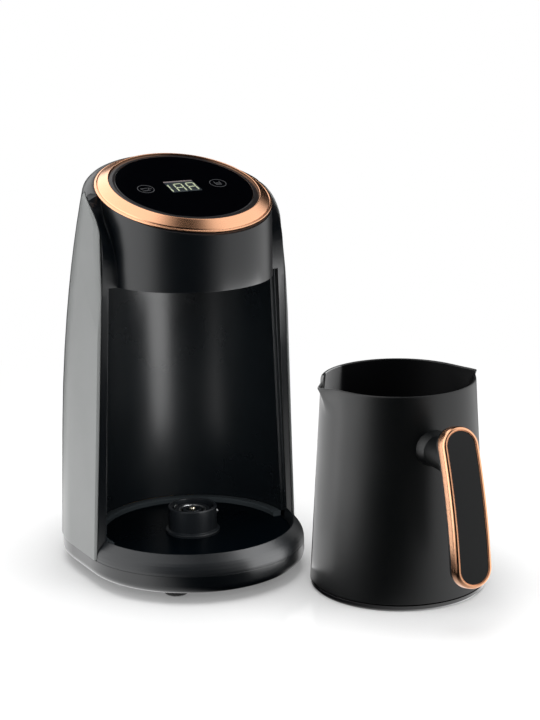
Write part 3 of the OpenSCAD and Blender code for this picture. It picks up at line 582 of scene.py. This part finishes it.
def reflected_only(obj, name):
    """Lights a stage mesh by its own "light" values, for reflections alone."""
    t = bpy.data.materials.new(name)
    t.use_nodes = True
    nodes, links = t.node_tree.nodes, t.node_tree.links
    nodes.clear()
    read = nodes.new("ShaderNodeAttribute")
    read.attribute_name = "light"
    shine = nodes.new("ShaderNodeEmission")
    out = nodes.new("ShaderNodeOutputMaterial")
    links.new(read.outputs["Fac"], shine.inputs["Strength"])
    links.new(shine.outputs[0], out.inputs["Surface"])
    obj.data.materials.append(t)
    obj.visible_camera = obj.visible_diffuse = obj.visible_shadow = obj.visible_transmission = False


def sheen_lamp(name, start, end, low, high, radiance):
    """A small upright lamp for reflections alone; it shines to the left of start to end, seen from above."""
    a, b = Vector((*start, 0)) * MM, Vector((*end, 0)) * MM
    width, tall = (b - a).length, (high - low) * MM
    mid = (a + b) / 2 + Vector((0, 0, (low + high) / 2 * MM))
    out = Vector((0, 0, 1)).cross(b - a)
    lamp = area(name, (width, tall), mid, mid + out, 4 * width * tall * radiance)
    lamp.visible_glossy = True
    lamp.visible_diffuse = lamp.visible_transmission = False


make_room()
# the pot is lit from where the machine stands, and the open bay from where the pot stands
sheen_lamp("sheen_pot", (88, -52), (22, -89), 12, 160, 1.3)
sheen_lamp("sheen_bay", (14, -91), (88, -50), 12, 190, 3.8)


def make_floor():
    radius, rings, cols = 3.3, 40, 96
    bm = bmesh.new()
    bmesh.ops.create_circle(bm, cap_ends=True, segments=cols, radius=radius)
    mesh = bpy.data.meshes.new("floor")
    bm.to_mesh(mesh)
    bm.free()
    obj = bpy.data.objects.new("floor", mesh)
    obj.location = MIDDLE
    bpy.context.collection.objects.link(obj)
    m = bpy.data.materials.new("floor_white")
    m.use_nodes = True
    nodes, links = m.node_tree.nodes, m.node_tree.links
    nodes.clear()

    def add(kind, **inputs):
        node = nodes.new(kind)
        for key, value in inputs.items():
            node.inputs[key].default_value = value
        return node
    diffuse = add("ShaderNodeBsdfDiffuse")
    # painted contact shadow: ambient occlusion darkens the floor colour next to the objects
    painted_contact_shade = add("ShaderNodeAmbientOcclusion", Color=(0.80, 0.80, 0.80, 1), Distance=0.06)
    painted_contact_shade.samples = 8
    floor_tone_with_painted_shade = nodes.new("ShaderNodeMix")
    floor_tone_with_painted_shade.data_type = "RGBA"
    floor_tone_with_painted_shade.inputs[0].default_value = 0.38
    floor_tone_with_painted_shade.inputs[6].default_value = (0.80, 0.80, 0.80, 1)
    links.new(painted_contact_shade.outputs["Color"], floor_tone_with_painted_shade.inputs[7])
    links.new(floor_tone_with_painted_shade.outputs[2], diffuse.inputs["Color"])
    gloss = add("ShaderNodeBsdfGlossy", Color=(1, 1, 1, 1), Roughness=0.12)
    sheen = add("ShaderNodeMixShader", Fac=0.05)
    links.new(diffuse.outputs[0], sheen.inputs[1])
    links.new(gloss.outputs[0], sheen.inputs[2])
    lift = add("ShaderNodeEmission", Color=(1, 1, 1, 1))
    raised = nodes.new("ShaderNodeAddShader")
    links.new(sheen.outputs[0], raised.inputs[0])
    links.new(lift.outputs[0], raised.inputs[1])
    white = add("ShaderNodeEmission", Color=(1, 1, 1, 1), Strength=1.0)
    coord = nodes.new("ShaderNodeTexCoord")
    length = nodes.new("ShaderNodeVectorMath")
    length.operation = "LENGTH"
    links.new(coord.outputs["Object"], length.inputs[0])
    fade = nodes.new("ShaderNodeMapRange")
    fade.interpolation_type = "SMOOTHSTEP"
    fade.inputs["From Min"].default_value = 0.22
    fade.inputs["From Max"].default_value = 0.62
    links.new(length.outputs["Value"], fade.inputs["Value"])
    path = nodes.new("ShaderNodeLightPath")
    seen = nodes.new("ShaderNodeMath")
    seen.operation = "MAXIMUM"
    links.new(path.outputs["Is Camera Ray"], seen.inputs[0])
    links.new(path.outputs["Is Glossy Ray"], seen.inputs[1])
    both = nodes.new("ShaderNodeMath")
    both.operation = "MAXIMUM"
    links.new(seen.outputs[0], both.inputs[0])
    links.new(path.outputs["Is Transmission Ray"], both.inputs[1])
    amount = nodes.new("ShaderNodeMath")
    amount.operation = "MULTIPLY"
    amount.inputs[1].default_value = 0.16
    links.new(both.outputs[0], amount.inputs[0])
    links.new(amount.outputs[0], lift.inputs["Strength"])
    fac = nodes.new("ShaderNodeMath")
    fac.operation = "MULTIPLY"
    links.new(both.outputs[0], fac.inputs[0])
    links.new(fade.outputs["Result"], fac.inputs[1])
    blend = nodes.new("ShaderNodeMixShader")
    links.new(fac.outputs[0], blend.inputs["Fac"])
    links.new(raised.outputs[0], blend.inputs[1])
    links.new(white.outputs[0], blend.inputs[2])
    out = nodes.new("ShaderNodeOutputMaterial")
    links.new(blend.outputs[0], out.inputs["Surface"])
    mesh.materials.append(m)
    obj.visible_glossy = False


make_floor()


def make_world():
    world = bpy.data.worlds.new("studio")
    bpy.context.scene.world = world
    world.use_nodes = True
    nodes, links = world.node_tree.nodes, world.node_tree.links
    nodes.clear()
    light = nodes.new("ShaderNodeBackground")
    light.inputs["Color"].default_value = (1, 1, 1, 1)
    light.inputs["Strength"].default_value = 0.38
    white = nodes.new("ShaderNodeBackground")
    white.inputs["Color"].default_value = (1, 1, 1, 1)
    path = nodes.new("ShaderNodeLightPath")
    seen = nodes.new("ShaderNodeMath")
    seen.operation = "MAXIMUM"
    links.new(path.outputs["Is Camera Ray"], seen.inputs[0])
    links.new(path.outputs["Is Glossy Ray"], seen.inputs[1])
    both = nodes.new("ShaderNodeMath")
    both.operation = "MAXIMUM"
    links.new(seen.outputs[0], both.inputs[0])
    links.new(path.outputs["Is Transmission Ray"], both.inputs[1])
    mix = nodes.new("ShaderNodeMixShader")
    links.new(both.outputs[0], mix.inputs["Fac"])
    links.new(light.outputs[0], mix.inputs[1])
    links.new(white.outputs[0], mix.inputs[2])
    out = nodes.new("ShaderNodeOutputWorld")
    links.new(mix.outputs[0], out.inputs["Surface"])


make_world()
bpy.context.scene.view_settings.view_transform = "Standard"
